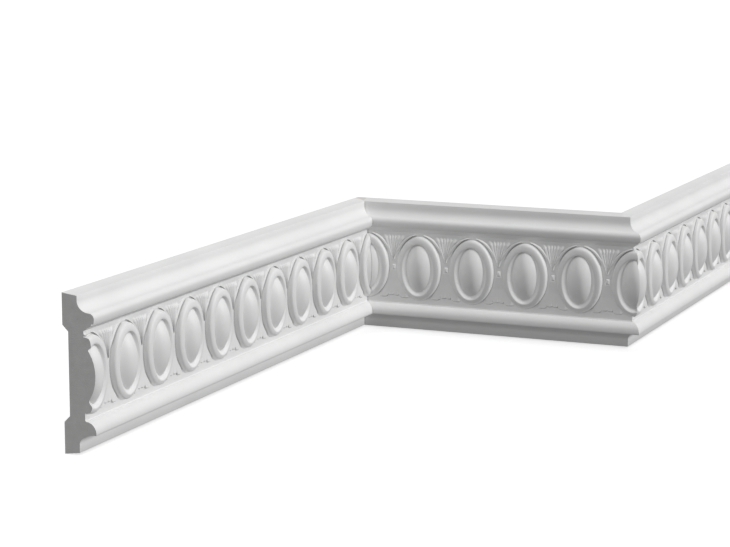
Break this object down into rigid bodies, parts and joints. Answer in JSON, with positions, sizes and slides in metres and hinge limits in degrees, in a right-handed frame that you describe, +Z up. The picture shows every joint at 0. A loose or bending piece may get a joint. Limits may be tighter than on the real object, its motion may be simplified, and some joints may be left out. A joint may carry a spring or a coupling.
{
  "type": "wall moulding",
  "caption": "Wall moulding with an egg-and-leaf frieze between nosed and coved bands, mitred round an inside and an outside corner.",
  "frame": {"origin": "centre of the bounding box at the level of the underside", "axes": "+Z up the wall; +Y along the left and right lengths, away from the viewer; +X along the middle length, and out of the wall on the left and right lengths"},
  "size_m": [0.2832, 0.936, 0.12],
  "materials": {
    "primed_face": "matt white factory primer on rigid foam"
  },
  "bodies": {
    "root": {"left_length": "primed_face", "middle_length": "primed_face", "right_length": "primed_face"}
  },
  "joints": []
}
